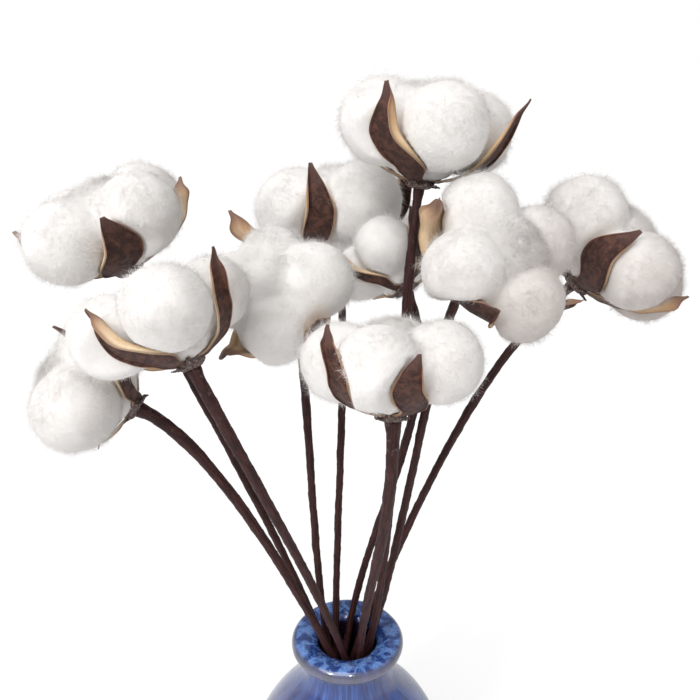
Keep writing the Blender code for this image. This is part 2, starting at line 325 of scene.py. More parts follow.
vaseLook = {
    "sides": 160,
    "cornerCuts": 2,            # passes of corner cutting over the profile
    "wander": 0.16,             # mm, how far the glaze swells and thins
    "deepBlue": (0.010, 0.030, 0.150, 1),
    "midBlue": (0.032, 0.095, 0.360, 1),
    "paleBlue": (0.150, 0.290, 0.640, 1),
    "slate": (0.085, 0.092, 0.125, 1),
    # painted shade for the inside of the neck
    "paintedInsideShade": (0.012, 0.006, 0.016, 1),
    "mauve": (0.115, 0.110, 0.205, 1),
    "bareClay": (0.42, 0.33, 0.25, 1),
    "roughness": 0.16,
}


def vaseProfile():
    # radius and height from the middle of the foot, up the outside, over the lip and
    # down the inside, the same turning points as the CAD solid
    belly, lip, mouth, top, floor = 49.0, 27.0, 13.6, 119.0, 6.0
    return np.array((
        (0.0, 0.0), (30.0, 0.0), (32.6, 1.4), (belly - 9.5, 12.0), (belly - 3.5, 25.0),
        (belly - 0.4, 38.0), (belly, 48.0), (belly - 2.4, 59.0), (belly - 7.2, 69.0),
        (belly - 14.2, 79.0), (belly - 22.2, 87.5), (belly - 27.6, 94.0), (19.4, 99.5),
        (18.6, 103.5), (18.8, 106.5), (20.6, 109.2), (lip - 3.0, 110.4), (lip - 0.8, 112.3),
        (lip, 114.9), (lip - 0.8, 117.4), (lip - 3.0, top), (lip - 6.2, top - 0.2),
        (lip - 9.2, top - 1.0), (mouth + 1.8, top - 2.2), (mouth + 0.4, top - 3.9),
        (mouth, top - 6.6), (mouth, 104.0), (14.4, 99.0), (17.6, 93.0), (23.2, 86.5),
        (31.4, 77.0), (38.2, 67.0), (43.0, 57.5), (44.9, 47.5), (44.2, 36.0), (40.8, 24.5),
        (35.5, 14.0), (30.0, floor + 1.6), (26.5, floor), (0.0, floor)))


def buildVase(mat):
    # profile turned about the axis: x = r cos a, y = r sin a, corners cut at a quarter
    profile = vaseProfile()
    for _ in range(vaseLook["cornerCuts"]):
        near = profile[:-1] * 0.75 + profile[1:] * 0.25
        far = profile[:-1] * 0.25 + profile[1:] * 0.75
        cut = np.stack([near, far], 1).reshape(-1, 2)
        profile = np.vstack([profile[:1], cut, profile[-1:]])
    profile = profile[1:-1]
    run = np.concatenate([[0], np.cumsum(np.linalg.norm(np.diff(profile, axis=0), axis=1))])
    a = np.linspace(0, 2 * np.pi, vaseLook["sides"], endpoint=False)
    r, z = profile[:, :1], profile[:, 1:]
    rings = np.stack([r * np.cos(a), r * np.sin(a), z + 0 * a], -1)
    swell = softNoise(rings, 11.0, 4) * 0.6 + softNoise(rings, 5.0, 5) * 0.4
    swell = swell * vaseLook["wander"] * smooth((z - 3.0) / 6.0)
    rings[..., 0] += swell * np.cos(a)
    rings[..., 1] += swell * np.sin(a)
    points, quads, tris = closedGrid(rings)
    height = points[:, 2]
    across = np.hypot(points[:, 0], points[:, 1])
    top = np.argmax(profile[:, 1])
    inner = np.repeat((np.arange(len(profile)) > top).astype(float), len(a))
    inner = np.concatenate([inner, [0.0, 1.0]])
    runs = np.concatenate([np.repeat(run, len(a)), [run[0], run[-1]]])
    values = {
        "lipTop": smooth((height - 114.5) / 2.6) * smooth((26.3 - across) / 2.0),
        "lipEdge": smooth((across - 22.6) / 1.6) * smooth((height - 108.5) / 2.0),
        # mask of the painted shade inside, full from just under the lip downwards
        "inside": inner * smooth((116.2 - height) / 2.8),
        "bareFoot": smooth((1.2 - height) / 0.8) * (1 - inner),
        "neck": smooth((height - 92.0) / 10.0) * smooth((111.0 - height) / 1.5) * (1 - inner),
        "glazeRun": np.stack([points[:, 0] / np.maximum(across, 1), points[:, 1] / np.maximum(across, 1),
                              runs * 0.01], -1),
    }
    ob = makePiece("glazedVase", points, [quads, tris], mat, "vase", values)
    print("vase:", len(quads) * 2, "triangles")
    return ob


def makeGlaze():
    # blues that run down the body, mottled on the lip's top, slate round its edge, painted shade that darkens
    # the inside nearly to black, and bare clay under the foot; each part is laid on by its own attribute
    mat, tree, bsdf = newMaterial("reactiveBlueGlaze", vaseLook["roughness"])
    place = addNode(tree, "ShaderNodeTexCoord").outputs["Object"]
    flow = attributeOf(tree, "glazeRun", "Vector")
    run = streaked(tree, flow, 7.0, 3.0)
    fineRun = streaked(tree, flow, 22.0, 5.0)
    body = mixColours(tree, curveOf(tree, run, 0.38, 0.62), vaseLook["deepBlue"], vaseLook["midBlue"])
    body = mixColours(tree, combine(tree, "MULTIPLY", curveOf(tree, fineRun, 0.5, 0.7), 0.5),
                      body, vaseLook["paleBlue"])
    cloud = mottled(tree, place, 26.0, 0.44, 0.66)
    body = mixColours(tree, combine(tree, "MULTIPLY", cloud.outputs["Mask"], 0.75), body, vaseLook["mauve"])
    neck = mixColours(tree, curveOf(tree, fineRun, 0.42, 0.68), vaseLook["deepBlue"], vaseLook["midBlue"])
    body = mixColours(tree, attributeOf(tree, "neck"), body, neck)
    spots = mottled(tree, place, 210.0, 0.43, 0.58)
    specks = curveOf(tree, spots.outputs["Fine"], 0.40, 0.62)
    patch = mixColours(tree, spots.outputs["Mask"], vaseLook["deepBlue"], vaseLook["paleBlue"])
    patch = mixColours(tree, combine(tree, "MULTIPLY", specks, 0.55), patch, vaseLook["midBlue"])
    slate = mixColours(tree, curveOf(tree, run, 0.35, 0.7), vaseLook["slate"], vaseLook["mauve"])
    colour = mixColours(tree, attributeOf(tree, "lipEdge"), body, slate)
    colour = mixColours(tree, attributeOf(tree, "lipTop"), colour, patch)
    # painted shade: the inside is darkened nearly to black below the lip
    colour = mixColours(tree, attributeOf(tree, "inside"), colour, vaseLook["paintedInsideShade"])
    bare = attributeOf(tree, "bareFoot")
    colour = mixColours(tree, bare, colour, vaseLook["bareClay"])
    tree.links.new(colour, bsdf.inputs["Base Color"])
    tree.links.new(curveOf(tree, bare, 0.0, 1.0, vaseLook["roughness"], 0.85), bsdf.inputs["Roughness"])
    bsdf.inputs["Coat Weight"].default_value = 0.6
    bsdf.inputs["Coat Roughness"].default_value = 0.05
    bumped(tree, spots.outputs["Fine"], 0.10, 0.0004, bsdf)
    return mat


stemLook = {
    "footRing": 24.0, "neckRing": 11.2, "neckZ": 114.0, "spiral": 135.0, "firstSlot": 265.0,
    "lipBend": 0.35, "floor": 6.7, "gap": 0.45,
    "headBend": {1: 0.20, 2: 0.12, 3: 0.14, 9: 0.14}, "usualBend": 0.27,
    "footRadius": 1.6, "topRadius": 2.15,
    "thick": {1: 1.22, 2: 0.92, 3: 1.05, 4: 0.97, 5: 0.86, 6: 1.08, 7: 0.86, 8: 0.84, 9: 0.90, 10: 0.94},
    "knobs": 0.30,                  # mm
    "sides": 14, "step": 0.9,       # mm between rings
    "tapePitch": 6.5, "tapeStep": 0.16,
    "dark": (0.021, 0.0064, 0.0064, 1), "warm": (0.060, 0.0190, 0.0170, 1), "dust": (0.20, 0.155, 0.150, 1),
    "roughness": 0.58,
}


def stemLine(number, head):
    # foot to neck straight, then one cubic curve up to the head: the CAD stem's own line
    at = math.radians(stemLook["firstSlot"] + head[10] * 36)
    foot = at + math.radians(stemLook["spiral"])
    start = np.array([stemLook["footRing"] * math.cos(foot), stemLook["footRing"] * math.sin(foot),
                      stemLook["floor"]])
    neck = np.array([stemLook["neckRing"] * math.cos(at), stemLook["neckRing"] * math.sin(at),
                     stemLook["neckZ"]])
    up = unit(neck - start)
    axis = leanMatrix(head[3], head[4]) @ np.array([0.0, 0.0, 1.0])
    end = np.array(head[:3], float) - axis * (2.4 * head[6] + stemLook["gap"])
    reach = np.linalg.norm(end - neck)
    leave = unit(up * (1 - stemLook["lipBend"]) + (end - neck) / reach * stemLook["lipBend"])
    bend = reach * stemLook["headBend"].get(number, stemLook["usualBend"])
    t = np.linspace(0, 1, 200)[:, None]
    p1, p2 = neck + leave * reach * 0.36, end - axis * bend
    curve = (1 - t) ** 3 * neck + 3 * (1 - t) ** 2 * t * p1 + 3 * (1 - t) * t * t * p2 + t ** 3 * end
    line = np.vstack([start + (neck - start) * np.linspace(0, 1, 40)[:-1, None], curve])
    run = np.concatenate([[0], np.cumsum(np.linalg.norm(np.diff(line, axis=0), axis=1))])
    even = np.linspace(0, run[-1], int(run[-1] / stemLook["step"]))
    return np.stack([np.interp(even, run, line[:, k]) for k in range(3)], -1), even


def carriedFrames(line):
    # two directions square to the line at each ring, carried along without twist
    tangent = unit(np.gradient(line, axis=0))
    first = unit(np.cross(tangent[0], [0.3, 1.0, 0.1]))
    sides = [first]
    for t in tangent[1:]:
        sides.append(unit(sides[-1] - t * np.dot(sides[-1], t)))
    sides = np.array(sides)
    return sides, np.cross(tangent, sides)


def buildStem(number, head, mat):
    # rings of radius r + winding step + crinkle about the line
    line, run = stemLine(number, head)
    side, other = carriedFrames(line)
    length = run[-1]
    a = np.linspace(0, 2 * np.pi, stemLook["sides"], endpoint=False)[None, :]
    part = (run / length)[:, None]
    top = stemLook["topRadius"] * stemLook["thick"][number]
    radius = stemLook["footRadius"] + (top - stemLook["footRadius"]) * part ** 2.2
    winding = (run[:, None] / stemLook["tapePitch"] + a / (2 * np.pi) + number * 0.37) % 1.0
    above = smooth((run[:, None] - 118.0) / 8.0)
    radius = radius + stemLook["tapeStep"] * (winding ** 2) * (0.35 + 0.65 * above)
    radius = radius + 0.5 * smooth((run[:, None] - length + 5.0) / 5.0) * above
    cylinder = np.stack([np.cos(a) * 2 + 0 * run[:, None], np.sin(a) * 2 + 0 * run[:, None],
                         run[:, None] * 0.30 + 0 * a], -1)
    radius = radius + 0.10 * softNoise(cylinder, 0.9, 100 + number) * above
    knobs = np.maximum(softNoise(cylinder * 0.6, 1.5, 130 + number), -0.2)
    radius = radius + stemLook["knobs"] * knobs * above * (0.5 + part ** 2)
    rings = (line[:, None, :] + radius[..., None] * (np.cos(a)[..., None] * side[:, None, :]
                                                     + np.sin(a)[..., None] * other[:, None, :]))
    points, quads, tris = closedGrid(rings)
    flat = np.stack([np.cos(a) + 0 * run[:, None], np.sin(a) + 0 * run[:, None],
                     run[:, None] / 10 + 0 * a], -1).reshape(-1, 3)
    ends = np.array([[0, 0, 0], [0, 0, length / 10]])
    near = np.concatenate([np.repeat(smooth((run - length + 30) / 30), a.size), [0, 1]])
    values = {"winding": np.vstack([flat, ends]), "nearHead": near,
              "tapeEdge": np.concatenate([winding.ravel(), [0, 0]])}
    makePiece("tapedStem_%02d" % number, points, [quads, tris], mat, "stem_%02d" % number, values)
    return len(quads) * 2


def makeTape():
    # two browns by a winding grain, a paler tape edge, and dust near the head
    mat, tree, bsdf = newMaterial("windingTape", stemLook["roughness"])
    winding = attributeOf(tree, "winding", "Vector")
    grain = streaked(tree, winding, 2.6, 1.3)
    colour = mixColours(tree, curveOf(tree, grain, 0.36, 0.68), stemLook["dark"], stemLook["warm"])
    place = addNode(tree, "ShaderNodeTexCoord").outputs["Object"]
    dust = mottled(tree, place, 300.0, 0.55, 0.72)
    dusty = combine(tree, "MULTIPLY", dust.outputs["Mask"], attributeOf(tree, "nearHead"))
    colour = mixColours(tree, combine(tree, "MULTIPLY", dusty, 0.7), colour, stemLook["dust"])
    edge = curveOf(tree, attributeOf(tree, "tapeEdge"), 0.86, 0.99)
    colour = mixColours(tree, combine(tree, "MULTIPLY", edge, 0.35), colour, stemLook["warm"])
    tree.links.new(colour, bsdf.inputs["Base Color"])
    bsdf.inputs["Specular IOR Level"].default_value = 0.25
    bumped(tree, grain, 0.35, 0.0006, bsdf)
    return mat


headShape = {
    "centre": 19.0, "lockRadius": 15.5, "lockOut": 18.5, "core": 19.5, "coreBelow": 19.2,
    "coreAbove": 16.0, "softness": 8.0,
    "hubPolar": 18, "thornSpan": 97,        # degrees from the stem to a valve's foot and on
    "polar": (18, 30, 42, 55, 68, 80, 92, 104, 115),
    "inner": (19.4, 19.9, 20.6, 21.7, 23.2, 24.7, 26.2, 28.2, 31.2),
    # a valve's sheet at the same places, mm: half of its flat middle, its broad margin
    # and its narrow one, each measured along the leather, and how far they turn over
    "middle": (1.7, 2.5, 3.6, 5.0, 5.9, 5.5, 4.2, 2.4, 0.2),
    "broad": (0.4, 0.6, 1.0, 1.6, 2.7, 4.3, 5.6, 5.4, 0.3),
    "narrow": (0.5, 0.8, 1.1, 1.3, 1.5, 1.7, 1.6, 1.0, 0.15),
    "broadTurn": (10, 42, 72, 92, 108, 116, 108, 88, 50),
    "narrowTurn": (10, 42, 70, 88, 96, 92, 78, 56, 20),
    "sway": 6.0,                            # degrees a valve swings from side to side
    "swayAt": (0.0, 0.15, 0.3, 0.5, 0.68, 0.85, 1.0), "swayWave": (-0.2, 0.5, 1.0, 0.0, -0.85, -0.9, -0.7),
}
valveFit = np.polyfit(headShape["polar"], headShape["inner"], 5)


def valveAt(polar, reach):
    # 0 at the valve's foot, 1 at its thorn
    return (polar - headShape["hubPolar"]) / (headShape["thornSpan"] * reach)


def polarAt(f):
    # the other way about, for a valve of the usual reach
    return headShape["hubPolar"] + headShape["thornSpan"] * f


def valveCurve(key, f):
    # the listed values, read smoothly along the valve
    dense = np.linspace(-0.15, 1.1, 400)
    raw = np.interp(polarAt(dense), headShape["polar"], headShape[key])
    kernel = np.exp(-0.5 * (np.arange(-24, 25) / 9.0) ** 2)
    kernel /= kernel.sum()
    soft = np.convolve(np.pad(raw, 24, mode="edge"), kernel, mode="valid")
    return np.interp(f, dense, soft)


def valveRadius(f):
    # distance of the valve's inner face from the middle of the locks
    return np.polyval(valveFit, polarAt(np.clip(f, 0.0, 1.0)))


def skew(polar, twist):
    # a valve's middle line swings to one side and back on its way up
    return twist * np.sin(np.radians(polar * 1.6 - 20))


def swayOf(f, polar, hand):
    # and each valve adds its own S, read from a short list along it: hand * sway * wave
    dense = np.linspace(0, 1, 101)
    wave = np.interp(dense, headShape["swayAt"], headShape["swayWave"])
    wave = np.convolve(np.pad(wave, 8, mode="edge"), np.hanning(17) / np.hanning(17).sum(), mode="valid")
    wave = np.interp(f, dense, wave)
    return headShape["sway"] * hand * wave / np.maximum(np.sin(np.radians(polar)), 0.4)


def halfWidth(f, width, broadSide):
    # half of the flat middle: the broad side is full low down and slims above, the other
    # side the other way about, which gives the S outline
    rise = smooth((f - 0.28) / 0.5)
    side = np.where(broadSide, 1.12 - 0.54 * rise, 0.84 + 0.38 * rise)
    return valveCurve("middle", f) * np.where(f > 0.05, width, 1.0) * side


def traitsOf(number):
    # the four valves' rows of traits, in the order of their quarters
    return np.array([valveTraits.get((number, quarter), usualValve) for quarter in range(4)], float)


def onHead(polar, bearing, radius):
    # polar degrees from the stem, bearing round it, mm from the middle of the locks
    p, b = np.radians(polar), np.radians(bearing)
    return np.stack([radius * np.sin(p) * np.cos(b), radius * np.sin(p) * np.sin(b),
                     headShape["centre"] - radius * np.cos(p)], -1)


def lockRadius(number, polar, bearing, spread):
    # the far side of the four locks and the core along one ray, blended softly
    s = headShape
    shares = lockShares.get(number, (1, 1, 1, 1))
    p, b = np.radians(polar), np.radians(bearing)
    below = np.where(p < np.pi / 2, s["coreBelow"], s["coreAbove"])
    core = 1 / np.sqrt((np.sin(p) / s["core"]) ** 2 + (np.cos(p) / below) ** 2)
    total = core ** s["softness"]
    for k in range(4):
        a = math.radians(45 + 90 * k)
        out = s["lockOut"] * spread * shares[k]
        along = out * np.sin(p) * np.cos(b - a)
        inside = along ** 2 - out ** 2 + (s["lockRadius"] * shares[k]) ** 2
        reach = np.where((inside > 0) & (along > 0), along + np.sqrt(np.maximum(inside, 0)), 0)
        total = total + reach ** s["softness"]
    return total ** (1 / s["softness"])


lintLook = {
    "rows": 84, "columns": 132, "sunk": 0.7,        # mm the solid lies under the fibres
    "tufts": 0.60, "tuftSize": 8.0,
    "fine": 0.16, "fineSize": 2.8,
    "fibres": 26000, "fibreLength": 4.6, "fibreWidth": 0.065, "stand": 0.85, "mostStand": 3.4,
    "wisps": 260, "wispLength": 7.5,
    "white": (0.800, 0.782, 0.764, 1), "shade": (0.715, 0.690, 0.672, 1),
    # how strongly each head is given painted shade on its lower right, where the light falls off, towards a
    # greyer painted shade colour
    "paintedShadeColour": (0.500, 0.450, 0.425, 1), "paintedShadeTowards": (0.75, 0.0, -0.66),
    "paintedShade": {1: 0.35, 2: 0.20, 3: 0.30, 6: 0.25, 8: 0.10, 9: 0.75, 10: 1.0}, "usualPaintedShade": 0.05,
    "roughness": 0.95,
}


def lintRadius(number, polar, bearing, head, twist):
    # lock shape plus tufts, held in under each valve and swelling past its margins
    seed = 300 + number
    spread, reach = head[7], head[8]
    f = valveAt(polar, reach)
    thornPolar = polarAt(reach)
    swing = np.where(f < 1, skew(polar, twist), skew(thornPolar, twist) * (180 - polar) / (180 - thornPolar))
    local = bearing - swing
    r = lockRadius(number, polar, local, spread)
    where = onHead(polar, bearing, r)
    tuft = softNoise(where, lintLook["tuftSize"], seed) * lintLook["tufts"]
    tuft = tuft + softNoise(where, lintLook["fineSize"], seed + 1) * lintLook["fine"]
    traits = traitsOf(number)
    quarter = np.floor((local + 45) / 90).astype(int)
    hand, share, width, shift, _, splay = np.moveaxis(traits[quarter % 4], -1, 0)
    f = valveAt(polar, reach * share)
    off = local - 90 * quarter - shift - swayOf(f, polar, hand)
    across = np.abs(np.radians(off)) * np.sin(np.radians(polar)) * valveRadius(f * share)
    half = np.maximum(halfWidth(f, head[9] * width, off * hand > 0), 1.6) + 1.5
    limit = valveRadius(f * share) + splay * np.clip(f, 0, 1) ** 1.5 - 0.55
    limit = limit + np.maximum(across - half * 0.9, 0) * 2.2
    limit = limit + np.maximum(f - 0.97, 0) * 60
    return np.minimum(r + tuft, limit), across / half, f


def paintedShadeOf(points, number, head):
    # share of the head's painted shade, growing from its upper left to its lower right side
    towards = unit(points - placer(head)([0, 0, headShape["centre"]])) @ np.array(lintLook["paintedShadeTowards"])
    return lintLook["paintedShade"].get(number, lintLook["usualPaintedShade"]) * (0.25 + 0.75 * smooth(towards * 0.7 + 0.42))


def buildLint(number, head, twist, mat):
    # a grid of rays from the middle of the locks, each as long as lintRadius says
    place = placer(head)
    polar = np.linspace(1.5, 178.5, lintLook["rows"])[:, None]
    bearing = np.linspace(0, 360, lintLook["columns"], endpoint=False)[None, :]
    polar, bearing = np.broadcast_arrays(polar, bearing)
    radius = lintRadius(number, polar, bearing, head, twist)[0]
    radius = np.minimum(radius - lintLook["sunk"] * smooth((polar - 25) / 25), np.where(polar < 16, 18.6, 99))
    points, quads, tris = closedGrid(onHead(polar, bearing, radius))
    points = place(points)
    # the attribute carries painted shade, darker on the head's lower right
    makePiece("lint_%02d" % number, points, [quads, tris], mat, "cotton_%02d" % number,
              {"paintedShade": paintedShadeOf(points, number, head)})
    return len(quads) * 2


def ribbons(root, lean, normal, length, rise, curl, width, rng):
    # thin tapering strips: each point runs along lean, rises along normal and swings
    # sideways with a sine, in four stations that end in a point
    count = len(root)
    u = np.array([0.0, 0.34, 0.68, 1.0])[None, :, None]
    side = unit(np.cross(normal, lean))
    spine = (root[:, None, :] + lean[:, None, :] * (length[:, None, None] * u)
             + normal[:, None, :] * (rise[:, None, None] * u ** 1.5)
             + side[:, None, :] * (curl[:, None, None] * np.sin(u * np.pi * 1.3)))
    turn = rng.uniform(-0.5, 0.5, count)[:, None]
    flat = side * np.cos(turn) + normal * np.sin(turn)
    half = width[:, None, None] * 0.5 * np.array([0.9, 1.0, 0.75])[None, :, None]
    left = spine[:, :3] - flat[:, None, :] * half
    right = spine[:, :3] + flat[:, None, :] * half
    points = np.concatenate([left, right, spine[:, 3:]], 1).reshape(-1, 3)
    base = (np.arange(count) * 7)[:, None]
    quads = np.concatenate([base + np.array([[k, k + 1, k + 4, k + 3]]) for k in range(2)])
    tris = base + np.array([[2, 6, 5]])
    return points, quads[:, ::-1], tris[:, ::-1]


def buildFuzz(number, head, twist, mat):
    # fibres rooted all over the locks, combed along a slow noise, standing a little off;
    # beside the valves they lie flat and short, and a few long wisps start round the foot
    look = lintLook
    rng = np.random.default_rng(500 + number)
    count = look["fibres"] // 1
    polar = np.degrees(np.arccos(rng.uniform(-0.995, 0.93, count)))
    bearing = rng.uniform(0, 360, count)
    radius, cover, f = lintRadius(number, polar, bearing, head, twist)
    keep = (cover > 1.12) | (f > 0.97)
    polar, bearing, radius, cover, f = (v[keep] for v in (polar, bearing, radius, cover, f))
    root = onHead(polar, bearing, radius)
    higher = onHead(polar + 1.2, bearing, lintRadius(number, polar + 1.2, bearing, head, twist)[0])
    turned = bearing + 1.2 / np.maximum(np.sin(np.radians(polar)), 0.1)
    beside = onHead(polar, turned, lintRadius(number, polar, turned, head, twist)[0])
    normal = unit(np.cross(beside - root, higher - root))
    normal = normal * np.sign(np.einsum("ij,ij->i", normal, root - [0, 0, headShape["centre"]]))[:, None]
    comb = np.stack([softNoise(root, 9.0, 700 + number + k) for k in range(3)], -1)
    lean = comb * 1.5 + rng.normal(0, 0.6, root.shape)
    lean = unit(lean - normal * np.einsum("ij,ij->i", lean, normal)[:, None])
    n = len(root)
    free = np.where(f < 0.97, smooth((cover - 1.1) / 1.4), 1.0) * smooth((polar - 14) / 16)
    length = look["fibreLength"] * rng.lognormal(0, 0.3, n) * (0.35 + 0.65 * free)
    rise = np.clip(rng.exponential(look["stand"], n), 0, look["mostStand"]) * (0.15 + 0.85 * free)
    curl = rng.normal(0, 0.9, n) * (0.4 + 0.6 * free)
    width = look["fibreWidth"] * rng.uniform(0.6, 1.3, n)
    wisp = rng.random(n) < look["wisps"] / n * (1 + 2 * (polar < 50))
    length = np.where(wisp, look["wispLength"] * rng.uniform(0.6, 1.2, n), length)
    rise = np.where(wisp, rng.uniform(0.3, 1.6, n), rise)
    width = np.where(wisp, 0.05, width)
    points, quads, tris = ribbons(root - normal * (look["sunk"] + 0.1), lean, normal, length,
                                  rise + look["sunk"] * 0.9, curl, width, rng)
    points = placer(head)(points)
    # the attribute carries painted shade, darker on the head's lower right
    makePiece("fuzz_%02d" % number, points, [quads, tris], mat,
              attributes={"paintedShade": paintedShadeOf(points, number, head)})
    return len(quads) * 2 + len(tris)


def makeCotton(name, glow):
    # white with soft shade clouds, darkened towards each head's lower right by painted shade from an
    # attribute; glow is the share of light that goes through
    mat, tree, bsdf = newMaterial(name, lintLook["roughness"])
    place = addNode(tree, "ShaderNodeTexCoord").outputs["Object"]
    cloud = mottled(tree, place, 130.0, 0.35, 0.75)
    colour = mixColours(tree, cloud.outputs["Mask"], lintLook["white"], lintLook["shade"])
    colour = mixColours(tree, 0.65, colour, lintLook["white"])
    # painted shade: the cotton is mixed towards a greyer colour on each head's lower right
    colour = mixColours(tree, attributeOf(tree, "paintedShade"), colour, lintLook["paintedShadeColour"])
    tree.links.new(colour, bsdf.inputs["Base Color"])
    bsdf.inputs["Specular IOR Level"].default_value = 0.15
    bsdf.inputs["Subsurface Weight"].default_value = glow
    bsdf.inputs["Subsurface Radius"].default_value = (1.0, 0.95, 0.9)
    bsdf.inputs["Subsurface Scale"].default_value = 0.0035
    bumped(tree, cloud.outputs["Fine"], 0.25, 0.0010, bsdf)
    return mat


huskLook = {
    "rows": 48, "thickness": 0.9,
    "hubAngle": 44.0, "lift": 26.0,         # degrees the broad side opens off the lint
    "wrinkle": 0.24,
    "outside": (0.036, 0.0130, 0.0095, 1), "outsideWarm": (0.098, 0.039, 0.026, 1),
    "speck": (0.235, 0.150, 0.115, 1),
    "inside": (0.53, 0.335, 0.165, 1), "insidePale": (0.73, 0.57, 0.38, 1),
    "rim": (0.36, 0.205, 0.135, 1), "thorn": (0.120, 0.060, 0.050, 1), "flush": (0.37, 0.175, 0.105, 1),
    "calyx": (0.070, 0.042, 0.036, 1), "calyxPale": (0.26, 0.20, 0.18, 1),
    "roughness": 0.62,
    "calyxRadius": 4.9, "flaps": 7,
}


def valveSheet(number, quarter, head, twist, rng):
    # middle sheet of one valve: rows from hub to thorn; across it the leather runs flat,
    # then turns outwards and back over itself, found by summing small steps
    hand, share, widthShare, shift, flange, splay = traitsOf(number)[quarter]
    reach, width = head[8] * share, head[9] * widthShare
    rows = huskLook["rows"]
    f = np.concatenate([np.linspace(-0.12, 0.78, rows - 18), np.linspace(0.795, 1.0, 18)])
    column = f[:, None]
    polar = polarAt(reach * column)
    t = np.concatenate([np.linspace(-1, -0.5, 11), np.linspace(-0.4, 0.4, 7), np.linspace(0.5, 1, 11)])
    outer = np.clip((np.abs(t) - 0.5) / 0.5, 0, 1)[None, :]
    broadSide = (t * hand > 0)[None, :]
    flat = halfWidth(column, width, broadSide)
    phase = rng.uniform(0, 6, 4)
    ragged = (1 + 0.13 * np.sin(column * rng.uniform(9, 13) + np.where(broadSide, phase[0], phase[1]))
              + 0.07 * np.sin(column * rng.uniform(24, 33) + np.where(broadSide, phase[2], phase[3])))
    narrow = valveCurve("narrow", f)
    broad = np.maximum(valveCurve("broad", f) * flange, narrow)
    margin = np.where(broadSide, broad[:, None], narrow[:, None])
    margin = margin * ragged * (0.5 + 0.5 * width)
    turnOver = np.where(broadSide, valveCurve("broadTurn", f)[:, None] * rng.uniform(0.85, 1.08),
                        valveCurve("narrowTurn", f)[:, None] * rng.uniform(0.8, 1.15))
    bend = np.radians(turnOver) * smooth(outer * 1.7)
    opening = huskLook["lift"] * flange * rng.uniform(0.7, 1.2) * smooth((column - 0.30) / 0.4)
    bend = bend + np.where(broadSide, np.radians(opening), 0.0) * smooth(np.abs(t) * 2.4)[None, :]
    run = np.sign(t)[None, :] * np.where(outer > 0, flat + outer * margin, np.abs(t)[None, :] * 2 * flat)
    step = np.diff(run, axis=1)
    between = 0.5 * (bend[:, 1:] + bend[:, :-1])
    zero = np.zeros((len(f), 1))
    mid = len(t) // 2
    lateral = np.concatenate([zero, np.cumsum(np.cos(between) * step, 1)], 1)
    lateral = lateral - lateral[:, mid:mid + 1]
    side = np.where((t[1:] + t[:-1]) > 0, 1.0, -1.0)[None, :]
    climb = np.concatenate([zero, np.cumsum(np.sin(between) * step * side, 1)], 1)
    climb = climb - climb[:, mid:mid + 1]
    body = (valveRadius(f * share) + splay * np.clip(f, 0, 1) ** 1.5)[:, None]
    radius = body + 0.5 * huskLook["thickness"] + climb
    radius = radius - 0.6 * smooth(-f / 0.12)[:, None]   # the hub end tucks in under the locks
    turn = np.degrees(lateral / np.maximum(body * np.sin(np.radians(polar)), 2.0))
    turn = np.clip(turn, -huskLook["hubAngle"], huskLook["hubAngle"])
    bearing = 90 * quarter + shift + turn + skew(polar, twist) + swayOf(column, polar, hand)
    local = onHead(polar + 0 * t, bearing, radius)
    wrinkle = softNoise(local, 3.2, rng.integers(1000)) + 0.5 * softNoise(local, 1.5, rng.integers(1000))
    outwards = unit(local - [0, 0, headShape["centre"]])
    local = local + outwards * (huskLook["wrinkle"] * wrinkle * smooth(1.02 - f)[:, None])[..., None]
    # the thorn hooks outwards: a square of a smooth rise over the last part
    local = local + outwards * (2.4 * smooth((f - 0.88) / 0.12) ** 2)[:, None, None]
    return local, f, t


def buildHusk(number, head, twist, mat):
    # each valve's sheet gets its thickness along its normals, thinning to the thorn and
    # the margins, and joins the calyx knob and its torn flaps
    place = placer(head)
    rng = np.random.default_rng(800 + number)
    parts = []
    for quarter in range(4):
        sheet, f, t = valveSheet(number, quarter, head, twist, rng)
        along, across = np.gradient(sheet, axis=0), np.gradient(sheet, axis=1)
        normal = unit(np.cross(across, along))
        away = np.einsum("ijk,ijk->ij", normal, sheet - [0, 0, headShape["centre"]]).mean()
        normal = normal * (1 if away > 0 else -1)
        thick = huskLook["thickness"] * (0.35 + 0.65 * smooth((1.0 - f) / 0.16))[:, None]
        thick = thick * (1 - 0.40 * smooth((np.abs(t) - 0.8) / 0.2))[None, :]
        outer = sheet + normal * thick[..., None] * 0.5
        inner = sheet - normal * thick[..., None] * 0.5
        edge = unit(across) * (thick * 0.42)[..., None]
        right = sheet[:, -1:] + edge[:, -1:]
        left = sheet[:, :1] - edge[:, :1]
        ring = np.concatenate([outer, right, inner[:, ::-1], left], 1)
        points, quads, tris = closedGrid(ring)
        n = len(t)
        face = np.concatenate([np.zeros(n), [0.5], np.ones(n), [0.5]])
        side = np.concatenate([t, [1.0], t[::-1], [-1.0]])
        rows = len(f)
        along = np.concatenate([np.repeat(f, len(face)), [f[0], f[-1]]])
        values = {"innerFace": np.concatenate([np.tile(face, rows), [0.5, 0.5]]),
                  "acrossValve": np.concatenate([np.tile(side, rows), [0, 0]]),
                  "alongValve": along, "onCalyx": np.zeros(len(along)),
                  "valveMap": np.stack([np.concatenate([np.tile(side, rows), [0, 0]]),
                                        np.full(len(along), quarter * 3.0 + number * 17.0), along * 2.2], -1)}
        parts.append((points, quads, tris, values))
    parts.append(calyxKnob(number, rng))
    for _ in range(huskLook["flaps"]):
        parts.append(calyxFlap(number, rng))
    points, quads, tris, values = joined(parts)
    makePiece("husk_%02d" % number, place(points), [quads, tris], mat, "burr_%02d" % number, values)
    return len(quads) * 2 + len(tris)


def calyxValues(points, number):
    # the husk's attributes for points that belong to no valve
    count = len(points)
    return {"innerFace": np.zeros(count), "acrossValve": np.zeros(count), "alongValve": np.full(count, -0.1),
            "onCalyx": np.ones(count), "valveMap": points * 0.12 + [0, number * 3.0, 0]}


